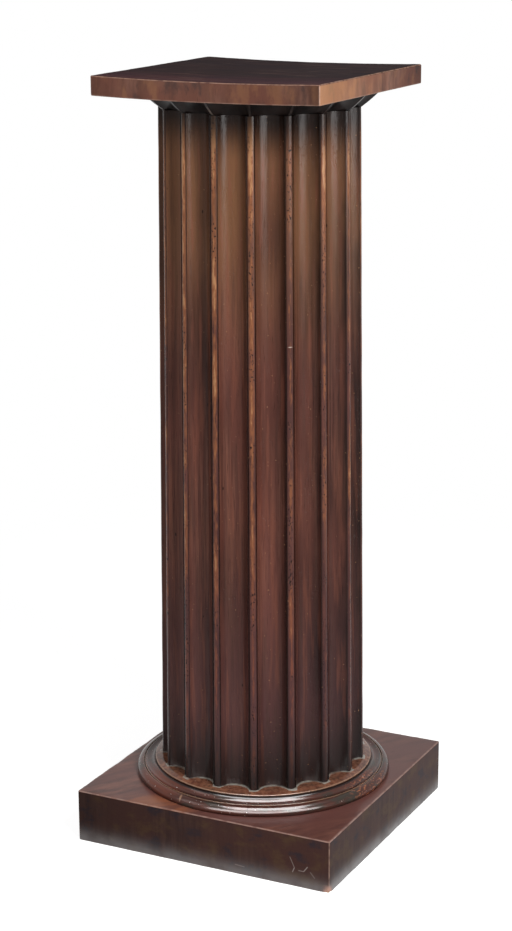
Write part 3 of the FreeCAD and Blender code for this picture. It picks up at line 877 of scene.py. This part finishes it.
topSheetLook = {
    "streak": (9, 180, 1),
    "patch": (5, 22, 1),
    "pore": (40, 1500, 1),
    "dark": colour(0.004, 0.001, 0.002),
    "light": colour(0.034, 0.01, 0.01),
    "accent": colour(0.012, 0.003, 0.005),
    "poreColour": colour(0.005, 0.002, 0.003),
    "streakColour": colour(0.15, 0.08, 0.06),
    "poreShare": 0.5,
    "edgeWear": colour(0.42, 0.25, 0.18),
    "edgeShare": 0.75,
    "gloss": 0.001,
    "rough": 0.42,
    "bump": 0.2,
    "relief": 0.0002,
}


def edgeRubbed(tree, wood, look):
    # pale line along a worn arris, stronger and fainter by turns
    broken = between(tree, cloud(tree, objectPlaces(tree), 90.0, 4.0), 0.30, 0.60, 0.30, 1.0)
    line = times(tree, between(tree, field(tree, "edge"), 0.15, 0.9), broken)
    return blended(tree, times(tree, line, look["edgeShare"]), wood, look["edgeWear"])


def topSheetFinish():
    look = topSheetLook
    material, tree, shader = newFinish("top_sheet_finish")
    places = objectPlaces(tree)
    wood, streak, _ = grainFigure(tree, places, look)
    # the top is paler towards the front, and a few thin streaks of wear run from left to right
    forward = between(tree, apart(tree, places)["Y"], -0.04, topLow.y, 1.0, 3.6)
    wood = scaled(tree, wood, forward)
    thin = veins(tree, places, (18, 300, 1), offset=(3, 9, 0))
    near = veins(tree, places, (9, 9, 1), offset=(2, 5, 0))
    thin = times(tree, between(tree, thin, 0.56, 0.66), between(tree, near, 0.42, 0.60, 0.0, 0.55))
    wood = blended(tree, thin, wood, look["streakColour"])
    finishUp(tree, shader, edgeRubbed(tree, wood, look), streak, look)
    return material


plinthSheetLook = {
    "rubbed": colour(0.3, 0.105, 0.05),
    "rubbedPlace": ((-0.070, -0.190, 0.0765), (0.070, 0.036, 0.01)),
    "turn": math.radians(35),        # the figure runs askew
    "streak": (60, 14, 1),
    "patch": (9, 5, 1),
    "pore": (900, 60, 1),
    "dark": colour(0.09, 0.038, 0.033),
    "light": colour(0.215, 0.088, 0.064),
    "accent": colour(0.145, 0.056, 0.047),
    "poreColour": colour(0.03, 0.014, 0.012),
    "poreShare": 0.5,
    "edgeWear": colour(0.45, 0.3, 0.25),
    "edgeShare": 0.62,
    "gloss": 0.14,
    "rough": 0.30,
    "bump": 0.2,
    "relief": 0.0002,
}


def plinthSheetFinish():
    look = plinthSheetLook
    material, tree, shader = newFinish("plinth_sheet_finish")
    inputs = {"Vector": objectPlaces(tree), "Rotation": (0, 0, look["turn"])}
    wood, streak, _ = grainFigure(tree, put(tree, "Mapping", inputs).outputs[0], look)
    uneven = between(tree, streak, 0.35, 0.6, 0.3, 0.9)
    wood = blended(tree, times(tree, spot(tree, *look["rubbedPlace"]), uneven), wood, look["rubbed"])
    finishUp(tree, shader, edgeRubbed(tree, wood, look), streak, look)
    return material


bandLook = {
    "streak": (110, 9, 1),
    "patch": (11, 12, 1),
    "pore": (1100, 70, 1),
    "poreColour": colour(0.03, 0.014, 0.01),
    "poreShare": 0.4,
    "edgeWear": colour(0.48, 0.31, 0.24),
    # grey of the painted floor reflection
    "paintedReflection": colour(0.33, 0.32, 0.32),
    "chipped": colour(0.56, 0.33, 0.26),
    "gloss": 0.02,
    "bump": 0.2,
    "relief": 0.0002,
}
topBandLook = bandLook | {
    "streak": (70, 9, 1),
    "dark": colour(0.11, 0.053, 0.04),
    "light": colour(0.2, 0.098, 0.072),
    "accent": colour(0.16, 0.066, 0.048),
    "edgeShare": 0.85,
    "blotch": (34, 16, 1),
    "warm": colour(0.26, 0.12, 0.065),
    "bright": colour(0.2, 0.106, 0.04),
    "cold": colour(0.07, 0.044, 0.04),
    "rough": 0.34,
    "scratches": (),
}
plinthBandLook = bandLook | {
    "dark": colour(0.04, 0.021, 0.019),
    "light": colour(0.062, 0.033, 0.027),
    "accent": colour(0.056, 0.026, 0.022),
    "blotch": (26, 34, 1),
    "edgeShare": 0.5,
    "warm": colour(0.078, 0.044, 0.024),
    "bright": colour(0.062, 0.038, 0.03),
    "cold": colour(0.027, 0.021, 0.027),
    "rough": 0.24,
    "scratchColour": colour(0.3, 0.24, 0.22),
    # start and end as x and z, width, strength
    "scratches": (((0.139, 0.043), (0.146, 0.028), 0.0009, 0.5),
                  ((0.146, 0.028), (0.143, 0.021), 0.0010, 0.8),
                  ((0.152, 0.025), (0.160, 0.025), 0.0009, 0.6),
                  ((0.160, 0.025), (0.166, 0.033), 0.0010, 0.8),
                  ((0.170, 0.026), (0.177, 0.018), 0.0012, 0.35),
                  ((0.054, 0.014), (0.069, 0.013), 0.0011, 0.4)),
}


def scratch(tree, start, end, width):
    # 1 along a fine straight line between two places on the front face, given as x and z
    way = np.subtract(end, start)
    length = float(np.hypot(*way))
    moved = vectorCalc(tree, "SUBTRACT", objectPlaces(tree), (start[0], 0.0, start[1]))[0]
    inputs = {"Vector": moved, "Rotation": (0.0, math.atan2(way[1], way[0]), 0.0)}
    parts = apart(tree, put(tree, "Mapping", inputs).outputs[0])
    onLine = between(tree, calc(tree, "ABSOLUTE", parts["Z"]), width, width * 0.4)
    fromStart = between(tree, parts["X"], -width, width)
    beforeEnd = between(tree, parts["X"], length + width, length - width)
    return times(tree, onLine, times(tree, fromStart, beforeEnd))


def frontScratches(tree, wood, look):
    # the marks lie on the front face only
    forward = apart(tree, objectPlaces(tree))["Y"]
    onFront = between(tree, forward, plinthLow.y + 0.004, plinthLow.y + 0.001)
    for start, end, width, share in look["scratches"]:
        mark = times(tree, scratch(tree, start, end, width), onFront)
        wood = blended(tree, times(tree, mark, share), wood, look["scratchColour"])
    return wood


def bandFinish(name, look):
    material, tree, shader = newFinish(name)
    places = field(tree, "grain", "Vector")
    wood, streak, _ = grainFigure(tree, places, look)
    # warm and cold blotches of the polish
    blotch = veins(tree, places, look["blotch"], 4.0, 0.6, offset=(4, 4, 0))
    wood = blended(tree, between(tree, blotch, 0.50, 0.66, 0.0, 0.6), wood, look["warm"])
    wood = blended(tree, between(tree, blotch, 0.46, 0.32, 0.0, 0.75), wood, look["cold"])
    # brighter or darker along each side by its tone, partly painted light and shade
    wood = blended(tree, between(tree, field(tree, "toneAndPaintedLight"), 1.0, 2.2, 0.0, 0.45), wood, look["bright"])
    wood = edgeRubbed(tree, scaled(tree, wood, field(tree, "toneAndPaintedLight")), look)
    wood = frontScratches(tree, wood, look)
    # painted reflection of the pale floor along the foot, uneven
    paintedReflection = between(tree, cloud(tree, objectPlaces(tree), 26.0), 0.3, 0.6, 0.6, 1.0)
    wood = blended(tree, times(tree, field(tree, "paintedFloorReflection"), paintedReflection), wood, look["paintedReflection"])
    wood = blended(tree, field(tree, "chip"), wood, look["chipped"])
    finishUp(tree, shader, wood, streak, look)
    return material


pineLook = {
    "streak": (120, 4, 120),
    "patch": (12, 3, 12),
    "pore": (700, 20, 700),
    "dark": colour(0.42, 0.27, 0.14),
    "light": colour(0.6, 0.43, 0.25),
    "accent": colour(0.5, 0.34, 0.19),
    "poreColour": colour(0.3, 0.18, 0.09),
    "poreShare": 0.3,
    "gloss": 0.2,
    "rough": 0.75,
    "tintShare": 0.35,
    "bump": 0.5,
    "relief": 0.0006,
}


def rawPine(name, tint):
    look = pineLook
    material, tree, shader = newFinish(name)
    wood, streak, _ = grainFigure(tree, objectPlaces(tree), look)
    finishUp(tree, shader, blended(tree, look["tintShare"], wood, tint), streak, look)
    return material


def dress(pieces, *materials):
    for piece in pieces:
        piece.data.materials.clear()
        for material in materials:
            piece.data.materials.append(material)


def refinish(beginnings, material):
    # parts taken over from the frame as they are
    for name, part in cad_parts.items():
        if name.startswith(beginnings):
            for slot in part.material_slots:
                slot.material = material


dress(staves, shaftPolish("shaft_polish", shaftLook["gloss"]),
      shaftPolish("bead_polish", shaftLook["beadGloss"]))
dress([neckPiece], neckPolishPaintedShade())
dress(rings, turnedPolish())
dress([topSheet], topSheetFinish())
dress([plinthSheet], plinthSheetFinish())
dress(bands["top"], bandFinish("top_band_finish", topBandLook))
dress(bands["plinth"], bandFinish("plinth_band_finish", plinthBandLook))

carcassPine = rawPine("carcass_pine", colour(0.42, 0.28, 0.16))
formerPine = rawPine("former_pine", colour(0.46, 0.33, 0.2))
blockPine = rawPine("block_pine", colour(0.38, 0.25, 0.14))
dress([topBoard], carcassPine)
refinish(("plinth_side", "plinth_board"), carcassPine)
refinish(("former_",), formerPine)
refinish(("corner_block", "glue_blocks"), blockPine)
print("finishes made")


studio = {
    "floorSize": 60.0,
    "floorColour": colour(0.8, 0.8, 0.8),
    "floorGlow": 0.76,       # what the pale floor shows the camera besides its shadow
    "fadeStart": 0.55,
    "fadeEnd": 1.6,
    "daylight": 0.22,        # even light from all round
    "middle": (0, 0, 0.55),  # what the lamps face
}


def seenDirectly(tree):
    # 1 for rays from the camera, off a polish and through glass, which see the backdrop plain white
    path = put(tree, "LightPath").outputs
    seen = calc(tree, "MAXIMUM", path["Is Camera Ray"], path["Is Glossy Ray"])
    return calc(tree, "MAXIMUM", seen, path["Is Transmission Ray"])


def makeFloor(look):
    half = look["floorSize"] / 2
    corners = [(-half, -half, 0), (half, -half, 0), (half, half, 0), (-half, half, 0)]
    mesh = bpy.data.meshes.new("pale_floor")
    mesh.from_pydata(corners, [], [(0, 1, 2, 3)])
    floor = bpy.data.objects.new("pale_floor", mesh)
    scene.collection.objects.link(floor)
    material, tree, shader = newFinish("pale_floor")
    shader.inputs["Base Color"].default_value = look["floorColour"]
    shader.inputs["Roughness"].default_value = 0.9
    shader.inputs["Specular IOR Level"].default_value = 0.0
    # the floor keeps the stand's shadow and fades to white further off
    away = vectorCalc(tree, "LENGTH", objectPlaces(tree))["Value"]
    fade = between(tree, away, look["fadeStart"], look["fadeEnd"])
    glow = put(tree, "Emission", {"Strength": look["floorGlow"]}).outputs[0]
    white = put(tree, "Emission", {"Strength": 1.0}).outputs[0]
    lit = put(tree, "AddShader", {0: shader.outputs[0], 1: glow}).outputs[0]
    faded = put(tree, "MixShader", {0: fade, 1: lit, 2: white}).outputs[0]
    inputs = {0: seenDirectly(tree), 1: shader.outputs[0], 2: faded}
    shown = put(tree, "MixShader", inputs).outputs[0]
    tree.links.new(shown, tree.nodes["Material Output"].inputs["Surface"])
    floor.data.materials.append(material)


def makeWorld(look):
    world = bpy.data.worlds.new("even_daylight")
    scene.world = world
    world.use_nodes = True
    tree = world.node_tree
    background = tree.nodes["Background"]
    background.inputs["Color"].default_value = colour(1, 1, 1)
    strength = between(tree, seenDirectly(tree), 0.0, 1.0, look["daylight"], 1.0)
    tree.links.new(strength, background.inputs["Strength"])


def softBox(name, azimuth, elevation, distance, width, height, power, sheenOn=None):
    # lamp that faces the middle of the stand; azimuth runs from the front towards the right.
    # With pieces given in sheenOn it shows only in their polish, and lights no colour.
    across, up = math.radians(azimuth), math.radians(elevation)
    direction = [math.sin(across) * math.cos(up), -math.cos(across) * math.cos(up), math.sin(up)]
    place = np.array(studio["middle"]) + distance * np.array(direction)
    lamp = bpy.data.lights.new(name, "AREA")
    lamp.shape = "RECTANGLE"
    lamp.size = width
    lamp.size_y = height
    lamp.energy = power
    holder = bpy.data.objects.new(name, lamp)
    scene.collection.objects.link(holder)
    facing = Matrix.Rotation(across, 4, "Z") @ Matrix.Rotation(math.pi / 2 - up, 4, "X")
    holder.matrix_world = Matrix.Translation(place) @ facing
    if sheenOn:
        holder.visible_diffuse = False
        shining = bpy.data.collections.new(name)
        for piece in sheenOn:
            shining.objects.link(piece)
        holder.light_linking.receiver_collection = shining


camera = {
    "place": (1.3327, -2.6752, 1.3483),
    "heading": 26.64,        # turned from +Y towards -X
    "tilt": -15.23,
    "roll": -0.33,
    "sensor": 36,
    "lens": 2181 / 931 * 36,     # focal length in picture heights, times the sensor
}


def makeCamera(look):
    body = bpy.data.cameras.new("viewpoint")
    body.lens = look["lens"]
    body.sensor_width = look["sensor"]
    viewpoint = bpy.data.objects.new("viewpoint", body)
    scene.collection.objects.link(viewpoint)
    aim = Matrix.Rotation(math.radians(look["heading"]), 4, "Z")
    aim = aim @ Matrix.Rotation(math.radians(90 + look["tilt"]), 4, "X")
    aim = aim @ Matrix.Rotation(math.radians(look["roll"]), 4, "Z")
    viewpoint.matrix_world = Matrix.Translation(look["place"]) @ aim
    scene.camera = viewpoint


makeFloor(studio)
makeWorld(studio)
# azimuth, elevation, distance, width, height and power
softBox("key_box", 54, 28, 2.6, 0.7, 1.5, 56)
softBox("left_box", -45, 25, 3.0, 1.2, 1.6, 20)
softBox("shaft_sheen", 77, 7.5, 2.5, 2.1, 0.5, 44, sheenOn=staves)
softBox("ring_sheen", 27, 9, 2.2, 4.8, 1.3, 540, sheenOn=rings)
softBox("ring_sheen_above", 30, 62, 2.2, 2.4, 2.0, 600, sheenOn=rings)
makeCamera(camera)
print("floor, light and camera set")
